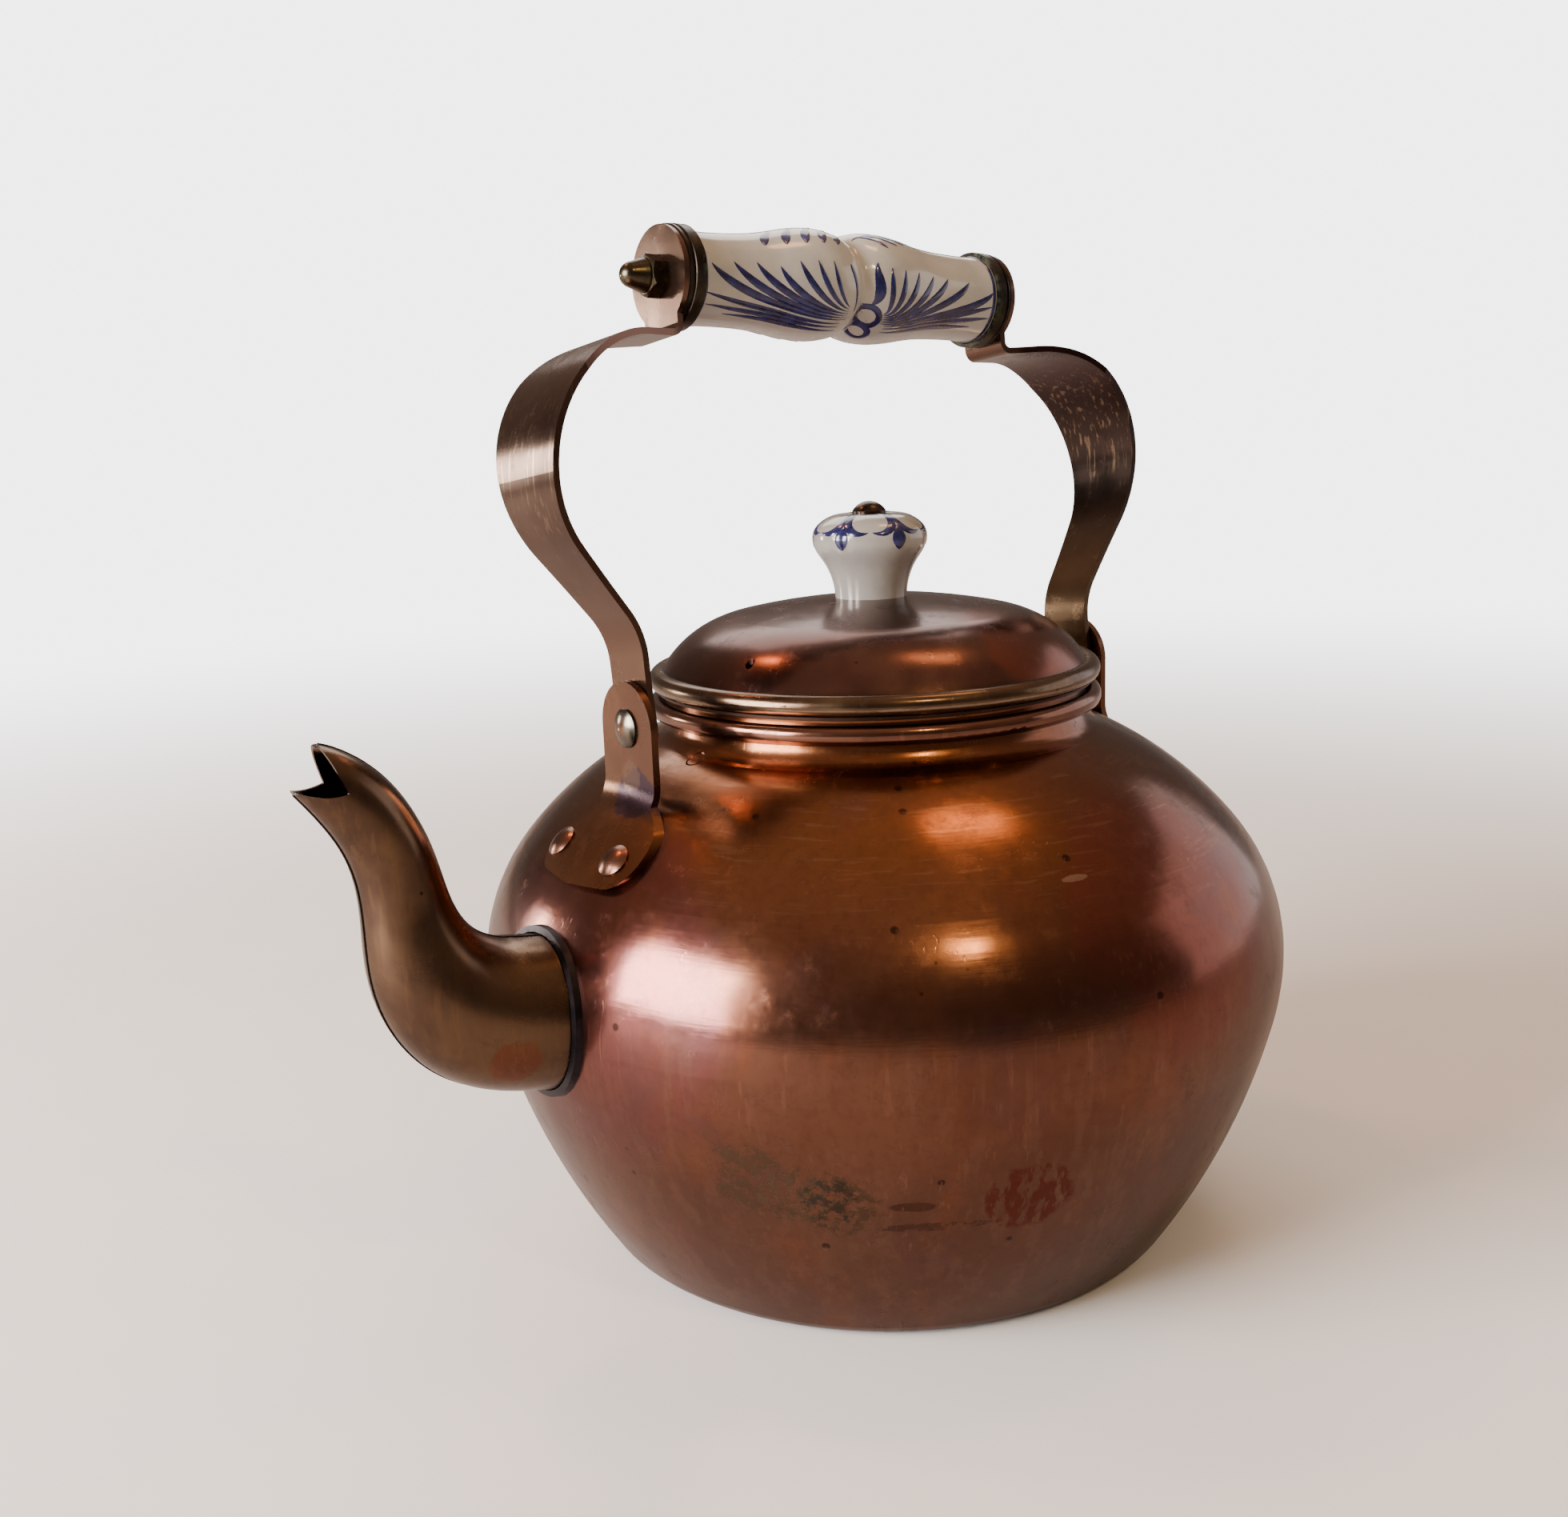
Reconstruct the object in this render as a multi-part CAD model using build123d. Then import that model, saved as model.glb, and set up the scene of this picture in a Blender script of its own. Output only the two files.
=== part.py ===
from build123d import *
import os
from math import asin, cos, degrees, radians, sin

# Copper kettle, millimetres. The origin is the centre of the flat base, +Z is up and the
# spout points to -X. The handle is a strap bail that swings on two riveted ears.

# ---- body: a spun copper vessel, its outline a chain of tangent arcs ----
WALL = 1.0
BASE_FLAT = 71.6            # radius of the flat the kettle stands on
CORNER = (8.0, 56.3)        # base corner: radius, turn in degrees
SIDE = (180.0, 19.7)        # lower side
LOWER_BELLY = (62.0, 14.0)
UPPER_BELLY = (50.0, 40.0)
SHOULDER = (95.0, 26.0)
NECK_FLARE = (7.0, -66.0)   # hollow curve under the neck
NECK_TOP = 144.0
OVER = 1.0                  # how far a cutter runs past what it cuts
EDGE = 0.25                 # share of a domed head's height that is its straight edge

# ---- ring round the neck ----
RING_OUTER = 58.8
RING_BOTTOM = 138.3
RING_TOP = 143.2
RING_EDGE = 2.2

# ---- spout: two pressed halves; its centre line lies in the plane Y = 0 ----
SPOUT_LINE = [
    (-88.0, 76.2), (-103.9, 78.7), (-119.0, 83.4), (-129.7, 94.8), (-134.1, 110.0),
    (-135.9, 120.0), (-139.7, 130.0), (-146.0, 138.6), (-153.6, 144.8),
]
SPOUT_RADII = [             # distance along the centre line, radius
    (0.0, 20.6), (16.0, 18.4), (32.0, 17.3), (48.0, 13.9), (64.0, 10.1),
    (74.0, 9.25), (84.5, 8.75), (95.0, 7.9), (105.0, 5.9),
]
SPOUT_STATIONS = 18
SPOUT_WALL = 0.9
SEAM_WIDTH = 0.5
SEAM_PROUD = 0.25
MOUTH_NOTCH = [             # V cut in each side of the mouth: height, distance back
    (-5.2, 0.0), (1.0, -8.0), (4.3, -3.4), (5.3, 0.0),
]
ROOT_AT = (-107.0, 78.0)    # where the spout leaves the body
ROOT_BEAD = 1.7             # solder fillet round the root

# ---- ears, riveted to the shoulder ----
EAR_FACE = 75.4             # outer face of an ear from the kettle's axis
EAR_THICK = 1.8
EAR_HALF = 11.2
PIVOT_Z = 142.3
FOOT_TOP = 122.0
FOOT_RIVET_Y = 12.1
FOOT_RIVET_Z = 113.4
FOOT_ROUNDS = [             # circles the foot is drawn round: across, height, radius
    (-11.2, 114.8, 5.6), (1.0, 119.0, 10.6), (13.9, 115.6, 6.4),
]
EAR_BEND = 9.0
RIVET_SHANK = 2.0
RIVET_HEAD = (4.1, 1.5)     # radius, height
BURR = (3.9, 0.8)           # washer inside the body: radius, thickness
BURR_GAP = 0.15             # a flat washer stands off the curved shell
TAIL = (3.0, 1.1)           # closed end of a rivet: radius, height
SLACK = 0.04                # radial clearance of a shank in its hole

# ---- pivots ----
PIVOT_SHANK = 2.5
PIVOT_HEAD = (4.7, 2.0)
PIVOT_TAIL = (4.0, 1.3)
PIVOT_WASHER = (5.0, 0.6)
PIVOT_GAP = 0.4             # between ear and arm
RUNNING = 0.05              # radial clearance of the arm on its rivet

# ---- handle arms: bent strap, measured from the pivot in the handle's own plane ----
HANDLE_LEAN = 7.0           # the handle stands this far back from upright
ARM_THICK = 1.6
ARM_END = 8.3               # radius of the rounded lower end
LOWER_BEND = (19.5, 36.0)
MIDDLE_BEND = (29.5, -36.0)
TOP_BEND = (31.0, -90.0)
DISC_BEND = 2.4
BULGE_X = 93.0              # widest point of the strap from the kettle's axis
DISC_X = 51.5               # middle of the end disc
DISC_HEIGHT = 102.6         # grip centre above the pivot
DISC_RADIUS = 12.1
STRAP_START = 9.0           # the strap joins the disc from here below its centre
STRAP_OVERLAP = 3.0
GRIP_TILT = 3.0             # the grip drops towards the rear
RISE_WIDTHS = [             # height above the pivot, half width of the strap
    (0.0, 8.3), (20.0, 8.1), (40.0, 10.2), (58.0, 13.3), (76.0, 15.6), (110.0, 16.2),
]
REACH_WIDTHS = [            # distance from the kettle's axis, half width of the strap
    (46.0, 7.4), (54.0, 7.6), (64.0, 10.4), (74.0, 14.0), (84.0, 16.2), (100.0, 18.0),
]
REAR_SHARE = 0.85           # the rear strap was cut narrower where it is wide
NARROW = 8.0                # half width up to which both straps are alike

# ---- grip ----
FERRULE_LENGTH = 4.4
FERRULE_RADIUS = 12.5
FERRULE_CUP = 2.0           # depth of the recess that takes the porcelain
FERRULE_GROOVE = 0.5
GRIP_PROFILE = [            # radius, distance from the middle
    (11.4, 48.2), (11.1, 40.0), (11.9, 27.0), (14.1, 15.0), (14.6, 8.8), (13.9, 3.6), (12.6, 0.0),
]
GRIP_BORE = 3.2
ROD_RADIUS = 2.5
ROD_HOLE = 2.65
NUT_FLATS = 9.0
NUT_LENGTH = 4.0
ACORN_LENGTH = 10.2
ACORN_FOOT = 4.1
ACORN_NOSE = 3.0
ROD_IN_NUT = 6.0

# ---- lid ----
LID_TOP = 166.8
LID_CROWN = (170.0, -12.5)
LID_SHOULDER = (29.0, -49.5)
LID_WALL = 1.0
LID_BEAD = 2.6
LID_BEAD_AT = (56.0, 147.6)
COLLAR_RADIUS = 53.4
COLLAR_WALL = 0.8
COLLAR_BOTTOM = 134.0
COLLAR_SEAT = 144.4
COLLAR_FLANGE = 56.1
VENT_RADIUS = 1.15
VENT_AT = (50.0, 195.5)     # distance from the axis, direction in degrees

# ---- knob ----
KNOB_BASE = 166.5
KNOB_PROFILE = [(9.3, 0.0), (9.6, 3.0), (11.9, 9.0), (14.3, 13.0), (14.7, 15.6), (13.2, 18.8)]
KNOB_TOP_RADIUS = 4.8
KNOB_HEIGHT = 21.3
KNOB_BORE = 2.2
SCREW_RADIUS = 2.0
SCREW_HEAD = (4.3, 3.2)
SCREW_END = 160.5
KNOB_WASHER = (5.5, 0.8)
KNOB_NUT = (7.0, 3.2)       # across flats, thickness


def chain(start, heading, steps):
    """Straight runs (length,) and tangent arcs (radius, turn) joined into one path."""
    edges = []
    point = Vector(*start)
    for step in steps:
        direction = Vector(cos(radians(heading)), sin(radians(heading)))
        if len(step) == 1:
            edges.append(Line(point, point + direction * step[0]))
        else:
            edges.append(JernArc(point, direction, step[0], step[1]))
            heading += step[1]
        point = edges[-1] @ 1
    return edges


def turned(outline):
    """Solid of revolution of an outline drawn with x as radius and y as height."""
    return revolve(Plane.XZ * make_face(outline), Axis.Z)


def tube(outer, inner, low, high):
    """Plain ring about Z between two heights."""
    ring = Circle(outer) - Circle(inner)
    return Pos(0, 0, low) * extrude(ring, high - low)


def bar(radius, low, high):
    """Plain round bar about Z between two heights."""
    return Pos(0, 0, low) * extrude(Circle(radius), high - low)


def stud(shank, low, high, tail, head):
    """Round pin from low to high with a domed tail and head, each (radius, height)."""
    tail_radius, tail_height = tail
    head_radius, head_height = head
    edge_low = low - EDGE * tail_height
    edge_high = high + EDGE * head_height
    foot = low - tail_height
    top = high + head_height
    outline = [
        TangentArc((0, foot), (tail_radius, edge_low), tangent=(1, 0)),
        Line((tail_radius, edge_low), (tail_radius, low)),
        Line((tail_radius, low), (shank, low)),
        Line((shank, low), (shank, high)),
        Line((shank, high), (head_radius, high)),
        Line((head_radius, high), (head_radius, edge_high)),
        TangentArc((0, top), (head_radius, edge_high), tangent=(1, 0)),
        Line((0, top), (0, foot)),
    ]
    return turned(outline)


def body_solid(offset, top=NECK_TOP):
    """Everything inside the body's outline moved outwards by offset."""
    bends = [CORNER, SIDE, LOWER_BELLY, UPPER_BELLY, SHOULDER, NECK_FLARE]
    steps = [(BASE_FLAT,)]
    for radius, turn in bends:
        steps.append((radius + offset if turn > 0 else radius - offset, turn))
    outline = chain((0, -offset), 0, steps)
    neck = outline[-1] @ 1
    rim = Vector(neck.X, top)
    outline += [Line(neck, rim), Line(rim, (0, top)), Line((0, top), (0, -offset))]
    return turned(outline)


def shoulder_point(height):
    """Radius of the shoulder at a height, and the direction of its normal above level."""
    shape = chain((0, 0), 0, [(BASE_FLAT,), CORNER, SIDE, LOWER_BELLY, UPPER_BELLY])
    start = shape[-1] @ 1
    slope = CORNER[1] + SIDE[1] + LOWER_BELLY[1] + UPPER_BELLY[1] - 90
    centre = start - Vector(cos(radians(slope)), sin(radians(slope))) * SHOULDER[0]
    lift = asin((height - centre.Y) / SHOULDER[0])
    return centre.X + SHOULDER[0] * cos(lift), degrees(lift)


# ---- spout ----

def spout_stations():
    """Planes across the spout's centre line, each with the radius there."""
    path = Plane.XZ * Spline(*SPOUT_LINE)
    sizes = Spline(*SPOUT_RADII)
    stations = []
    for index in range(SPOUT_STATIONS + 1):
        part = index / SPOUT_STATIONS
        place = part * SPOUT_RADII[-1][0]
        level = Line((place, 0), (place, 2 * SPOUT_RADII[0][1]))
        radius = sizes.find_intersection_points(level)[0].Y
        plane = Plane(path @ part, x_dir=(0, 1, 0), z_dir=path % part)
        stations.append([plane, radius])
    return stations


def spout_solid(grow, over=0.0, cut=None):
    """Filled spout, its section grown all round, run past both ends and trimmed by cut."""
    stations = spout_stations()
    stations[0][0] = stations[0][0].offset(-over)
    stations[-1][0] = stations[-1][0].offset(over)
    sections = []
    for plane, radius in stations:
        section = Circle(radius + grow)
        sections.append(plane * (section & cut if cut else section))
    return loft(sections)


def mouth_notch():
    """Prism that cuts the V through both sides of the mouth."""
    mouth = spout_stations()[-1][0]
    top, apex, sag, lip = MOUTH_NOTCH
    edges = [
        Line(top, apex),
        ThreePointArc(apex, sag, lip),
        Line(lip, (lip[0], OVER)),
        Line((lip[0], OVER), (top[0], OVER)),
        Line((top[0], OVER), top),
    ]
    plane = Plane(mouth.origin, x_dir=mouth.y_dir, z_dir=(0, 1, 0))
    return plane * extrude(make_face(edges), SPOUT_RADII[0][1], both=True)


def spout_half(bore, side):
    """One pressed half of the spout; side is -1 or 1 along Y."""
    width = 2 * SPOUT_RADII[0][1]
    keep = Pos(side * (width + SEAM_WIDTH) / 2, 0) * Rectangle(width, 2 * width)
    return spout_solid(0, cut=keep) - bore - body_solid(0) - mouth_notch()


def spout_seam(bore):
    """Brazed line along the top and the bottom of the spout."""
    strip = Rectangle(SEAM_WIDTH, 3 * SPOUT_RADII[0][1])
    return spout_solid(SEAM_PROUD, cut=strip) - bore - body_solid(0) - mouth_notch()


def spout_root_bead():
    """Solder bead in the corner between spout and body."""
    near = Pos(ROOT_AT[0], 0, ROOT_AT[1]) * Box(60, 60, 80)
    layer = (body_solid(ROOT_BEAD) - body_solid(0)) & near
    return (layer & spout_solid(ROOT_BEAD)) - spout_solid(SEAM_PROUD)


# ---- ears and their rivets: built on +X, then turned to their place ----

def ear_outline():
    """Front view of an ear: a round-topped tab on a wider rounded foot."""
    tab = Pos(0, (FOOT_TOP + PIVOT_Z) / 2) * Rectangle(2 * EAR_HALF, PIVOT_Z - FOOT_TOP)
    top = Pos(0, PIVOT_Z) * Circle(EAR_HALF)
    foot = (Pos(0, FOOT_TOP) * Rectangle(2 * EAR_HALF, 2)).edges()
    for across, height, radius in FOOT_ROUNDS:
        foot += (Pos(across, height) * Circle(radius)).edges()
    return tab + top + make_hull(foot)


def foot_plane(side):
    """Plane on the shoulder under a foot rivet, its z along the outward normal."""
    radius, lift = shoulder_point(FOOT_RIVET_Z)
    around = degrees(asin(side * FOOT_RIVET_Y / radius))
    return Plane(Rotation(0, 0, around) * Pos(radius, 0, FOOT_RIVET_Z) * Rotation(0, 90 - lift, 0))


def foot_holes():
    """Cutters for the two foot rivets."""
    return [foot_plane(side) * bar(RIVET_SHANK + SLACK, -5, 7) for side in (-1, 1)]


def ear():
    """Bent ear: foot formed to the shoulder, tab upright, holes for the rivets."""
    inner_face = EAR_FACE - EAR_THICK
    prism = extrude(Plane.YZ * ear_outline(), EAR_FACE + 40)
    layer = body_solid(EAR_THICK) - body_solid(0)
    beyond = Box(60, 100, 80, align=(Align.MIN, Align.CENTER, Align.MAX))
    foot = layer & prism & (Pos(inner_face, 0, PIVOT_Z) * beyond)
    slab = Pos(EAR_FACE - EAR_THICK / 2, 0, PIVOT_Z) * Box(EAR_THICK, 60, 120)
    shape = foot + ((prism & slab) - body_solid(0))
    for face_x, bend in ((EAR_FACE, EAR_BEND), (inner_face, EAR_BEND + EAR_THICK)):
        across = [
            edge for edge in shape.edges()
            if abs(edge.center().X - face_x) < 0.4 and abs(edge.center().Y) < 1
            and edge.length > EAR_HALF and FOOT_TOP < edge.center().Z < PIVOT_Z
        ]
        shape = fillet(across, bend)
    pivot = Plane.YZ * Pos(0, PIVOT_Z) * Circle(PIVOT_SHANK + SLACK)
    return shape - foot_holes() - extrude(pivot, EAR_FACE + 20)


def foot_rivets():
    """Two domed rivets through foot and body."""
    low = -WALL - BURR_GAP - BURR[1]
    rivet = stud(RIVET_SHANK, low, EAR_THICK, TAIL, RIVET_HEAD)
    return [foot_plane(side) * rivet for side in (-1, 1)]


def foot_burrs():
    """Washers that the foot rivets close on, inside the body."""
    ring = extrude(Circle(BURR[0]) - Circle(RIVET_SHANK + SLACK), BURR[1])
    return [foot_plane(side) * Pos(0, 0, -WALL - BURR_GAP - BURR[1]) * ring for side in (-1, 1)]


def arm_inner_face():
    """Distance of an arm's inner face from the kettle's axis at the pivot."""
    return EAR_FACE - EAR_THICK - PIVOT_GAP - ARM_THICK


def pivot_rivet():
    """Rivet that an arm turns on: head outside the ear, closed inside the arm."""
    inside = arm_inner_face() - PIVOT_WASHER[1]
    pin = stud(PIVOT_SHANK, inside, EAR_FACE, PIVOT_TAIL, PIVOT_HEAD)
    return Pos(0, 0, PIVOT_Z) * Rotation(0, 90, 0) * pin


def pivot_washer():
    """Loose washer between an arm and the closed end of its rivet."""
    low = arm_inner_face() - PIVOT_WASHER[1]
    ring = extrude(Circle(PIVOT_WASHER[0]) - Circle(PIVOT_SHANK + SLACK), PIVOT_WASHER[1] - 0.1)
    return Pos(0, 0, PIVOT_Z) * Rotation(0, 90, 0) * Pos(0, 0, low) * ring


# ---- handle: built with its pivot at the origin, upright, then placed ----

def on_grip(distance, tilt=GRIP_TILT):
    """Place on the grip's axis, measured outwards along +X from its middle."""
    return Pos(0, 0, DISC_HEIGHT) * Rotation(0, 90 + tilt, 0) * Pos(0, 0, distance)


def width_face(pairs, share):
    """Outline whose half width follows (place, half width) pairs along y, the wide part scaled."""
    pairs = [(place, half if half < NARROW else NARROW + (half - NARROW) * share) for place, half in pairs]
    right = Spline(*[(half, place) for place, half in pairs])
    left = Spline(*[(-half, place) for place, half in pairs])
    ends = [Line(left @ 0, right @ 0), Line(left @ 1, right @ 1)]
    return make_face([right, left] + ends)


def arm(tilt, share=1.0):
    """Strap arm on +X with its end disc; share scales how far it widens."""
    pivot_x = arm_inner_face() + ARM_THICK / 2
    straight = (
        BULGE_X - pivot_x
        - (LOWER_BEND[0] + MIDDLE_BEND[0]) * (1 - cos(radians(LOWER_BEND[1])))
    ) / sin(radians(LOWER_BEND[1]))
    centre = Vector(DISC_X * cos(radians(tilt)), DISC_HEIGHT - DISC_X * sin(radians(tilt)))
    begin = centre + Vector(-sin(radians(tilt)), -cos(radians(tilt))) * STRAP_START
    bend_in = chain(begin, 270 - tilt, [(STRAP_OVERLAP,), (DISC_BEND, 90 + tilt)])
    top_run = BULGE_X - TOP_BEND[0] - (bend_in[-1] @ 1).X
    upper = [(top_run,), TOP_BEND, MIDDLE_BEND, (straight,), LOWER_BEND]
    upper = chain(bend_in[-1] @ 1, 0, upper)
    foot = upper[-1] @ 1
    path = Wire(bend_in + upper + [Line(foot, (foot.X, -ARM_END - OVER))])
    strip = make_face(offset(path, ARM_THICK / 2, side=Side.BOTH).edges())
    sheet = extrude(Plane.XZ * strip, 20, both=True)
    front = width_face(RISE_WIDTHS, share) + Circle(ARM_END)
    plan = width_face(REACH_WIDTHS, share)
    sheet &= extrude(Plane.YZ * front, 120)
    sheet &= Pos(0, 0, -20) * extrude(Rotation(0, 0, -90) * plan, 140)
    disc = on_grip(DISC_X, tilt) * Cylinder(DISC_RADIUS, ARM_THICK)
    hole = on_grip(DISC_X, tilt) * Cylinder(ROD_HOLE, 4 * ARM_THICK)
    bore = Pos(pivot_x, 0, 0) * Rotation(0, 90, 0) * Cylinder(PIVOT_SHANK + RUNNING, 4 * ARM_THICK)
    return (sheet + disc) - hole - bore


def ferrule():
    """Cupped end ring between disc and porcelain, open end at z = 0."""
    outline = [
        (ROD_HOLE, FERRULE_CUP), (GRIP_PROFILE[0][0] + 0.05, FERRULE_CUP),
        (GRIP_PROFILE[0][0] + 0.05, 0), (FERRULE_RADIUS, 0),
        (FERRULE_RADIUS, FERRULE_LENGTH - 1.6), (FERRULE_RADIUS - FERRULE_GROOVE, FERRULE_LENGTH - 1.3),
        (FERRULE_RADIUS - FERRULE_GROOVE, FERRULE_LENGTH - 0.9),
        (FERRULE_RADIUS - 0.1, FERRULE_LENGTH - 0.7), (FERRULE_RADIUS - 0.1, FERRULE_LENGTH),
        (ROD_HOLE, FERRULE_LENGTH),
    ]
    return turned(Polyline(*outline, close=True).edges())


def porcelain_grip():
    """Turned grip with two swells and a waist, bored for the rod."""
    half = [(radius, place) for radius, place in GRIP_PROFILE]
    rest = [(radius, -place) for radius, place in reversed(GRIP_PROFILE[:-1])]
    side = Spline(*(half + rest))
    end = GRIP_PROFILE[0]
    top = Line((GRIP_BORE, end[1]), (end[0], end[1]))
    bottom = Line((end[0], -end[1]), (GRIP_BORE, -end[1]))
    bore = Line((GRIP_BORE, -end[1]), (GRIP_BORE, end[1]))
    return turned([top, side, bottom, bore])


def cap_nut():
    """Hexagon nut with a long closed acorn, its seat at z = 0."""
    corner = NUT_FLATS / 2 / cos(radians(30))
    bevel = Polyline(
        (0, -OVER), (corner + OVER, -OVER), (corner + OVER, NUT_LENGTH - 1.7),
        (NUT_FLATS / 2 - OVER, NUT_LENGTH + 0.8), (0, NUT_LENGTH + 0.8), close=True,
    )
    hexagon = extrude(RegularPolygon(NUT_FLATS / 2, 6, major_radius=False), NUT_LENGTH)
    neck = ACORN_LENGTH - 2.4
    acorn = [
        Line((0, 2), (ACORN_FOOT, 2)),
        Line((ACORN_FOOT, 2), (ACORN_FOOT, NUT_LENGTH + 0.4)),
        Line((ACORN_FOOT, NUT_LENGTH + 0.4), (ACORN_NOSE, neck)),
        TangentArc((0, ACORN_LENGTH), (ACORN_NOSE, neck), tangent=(1, 0)),
        Line((0, ACORN_LENGTH), (0, 2)),
    ]
    return (hexagon & turned(bevel.edges())) + turned(acorn) - bar(ROD_RADIUS, -OVER, ROD_IN_NUT + 0.3)


def handle_parts():
    """All pieces that swing, at their place on the kettle."""
    place = Pos(0, 0, PIVOT_Z) * Rotation(-HANDLE_LEAN, 0, 0)
    half_turn = Rotation(0, 0, 180)
    flip = Rotation(180, 0, 0)
    inner = DISC_X - ARM_THICK / 2
    outer = DISC_X + ARM_THICK / 2
    rod_half = outer + ROD_IN_NUT
    rod = on_grip(-rod_half) * extrude(Circle(ROD_RADIUS), 2 * rod_half)
    parts = {
        "rear_arm": arm(GRIP_TILT, REAR_SHARE),
        "front_arm": half_turn * arm(-GRIP_TILT),
        "rear_ferrule": on_grip(inner - FERRULE_LENGTH) * ferrule(),
        "front_ferrule": on_grip(-inner + FERRULE_LENGTH) * flip * ferrule(),
        "porcelain_grip": on_grip(0) * porcelain_grip(),
        "grip_rod": rod,
        "rear_cap_nut": on_grip(outer) * cap_nut(),
        "front_cap_nut": on_grip(-outer) * flip * cap_nut(),
    }
    return {name: place * shape for name, shape in parts.items()}


# ---- lid ----

def lid_curve(inset):
    """Lid profile from the axis to the rim, moved inwards by inset."""
    bends = [(radius - inset, turn) for radius, turn in (LID_CROWN, LID_SHOULDER)]
    return chain((0, LID_TOP - inset), 0, bends)


def lid_dome():
    """Spun lid with its steam hole."""
    outer = lid_curve(0)
    inner = lid_curve(LID_WALL)
    rim = Line(outer[-1] @ 1, inner[-1] @ 1)
    axis = Line(inner[0] @ 0, outer[0] @ 0)
    shell = turned(outer + inner + [rim, axis])
    radius, around = VENT_AT
    vent = Pos(0, 0, LID_TOP - 30) * extrude(Circle(VENT_RADIUS), 40)
    vent = Rotation(0, 0, around) * Pos(radius, 0, 0) * vent
    return shell - vent - bar(SCREW_RADIUS + 0.1, LID_TOP - 5, LID_TOP + 5)


def lid_filled():
    """Space under the lid's outer surface."""
    outer = lid_curve(0)
    rim = outer[-1] @ 1
    corner = (0, rim.Y)
    return turned(outer + [Line(rim, corner), Line(corner, (0, LID_TOP))])


def lid_bead(dome_shape):
    """Rolled edge round the rim of the lid."""
    ring = revolve(Plane.XZ * Pos(*LID_BEAD_AT) * Circle(LID_BEAD), Axis.Z)
    return ring - dome_shape


def lid_collar(bead):
    """Collar that drops into the neck, with the flange that it hangs by."""
    wall = tube(COLLAR_RADIUS, COLLAR_RADIUS - COLLAR_WALL, COLLAR_BOTTOM, COLLAR_SEAT)
    flange = tube(COLLAR_FLANGE + 0.4, COLLAR_RADIUS - COLLAR_WALL, COLLAR_SEAT, COLLAR_SEAT + COLLAR_WALL)
    return wall + flange - bead


def knob():
    """Porcelain knob seated on the lid."""
    side = Spline(*[(radius, KNOB_BASE + rise) for radius, rise in KNOB_PROFILE])
    shoulder = side @ 1
    top = KNOB_BASE + KNOB_HEIGHT
    cap = TangentArc(shoulder, (KNOB_TOP_RADIUS, top), tangent=side % 1)
    outline = [
        side, cap, Line((KNOB_TOP_RADIUS, top), (KNOB_BORE, top)),
        Line((KNOB_BORE, top), (KNOB_BORE, KNOB_BASE)), Line((KNOB_BORE, KNOB_BASE), side @ 0),
    ]
    return turned(outline) - lid_filled()


def knob_screw():
    """Dome-headed screw from the top of the knob through the lid."""
    top = KNOB_BASE + KNOB_HEIGHT
    return stud(SCREW_RADIUS, SCREW_END, top, (SCREW_RADIUS - 0.1, 0.5), SCREW_HEAD)


def knob_fixings():
    """Washer and nut under the lid."""
    seat = LID_TOP - LID_WALL - 0.1
    washer = tube(KNOB_WASHER[0], SCREW_RADIUS + SLACK, seat - KNOB_WASHER[1], seat)
    hexagon = RegularPolygon(KNOB_NUT[0] / 2, 6, major_radius=False) - Circle(SCREW_RADIUS + SLACK)
    nut = Pos(0, 0, seat - KNOB_WASHER[1] - KNOB_NUT[1]) * extrude(hexagon, KNOB_NUT[1])
    return washer, nut


# ---- body ----

def body_shell(bore):
    """Spun vessel with the spout opening and the rivet holes."""
    shell = body_solid(0) - body_solid(-WALL, NECK_TOP + OVER)
    shell -= bore & (Pos(ROOT_AT[0], 0, ROOT_AT[1]) * Box(50, 60, 80))
    for around in (0, 180):
        for hole in foot_holes():
            shell -= Rotation(0, 0, around) * hole
    return shell


def neck_ring():
    """Half-round ring soldered round the neck."""
    bends = [CORNER, SIDE, LOWER_BELLY, UPPER_BELLY, SHOULDER, NECK_FLARE]
    neck = (chain((0, 0), 0, [(BASE_FLAT,)] + bends)[-1] @ 1).X
    middle = Pos((neck + RING_OUTER) / 2, (RING_BOTTOM + RING_TOP) / 2)
    outline = middle * Rectangle(RING_OUTER - neck, RING_TOP - RING_BOTTOM)
    outer = outline.vertices().filter_by_position(Axis.X, RING_OUTER - 0.1, RING_OUTER + 0.1)
    return revolve(Plane.XZ * fillet(outer, RING_EDGE), Axis.Z) - body_solid(0)


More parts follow.
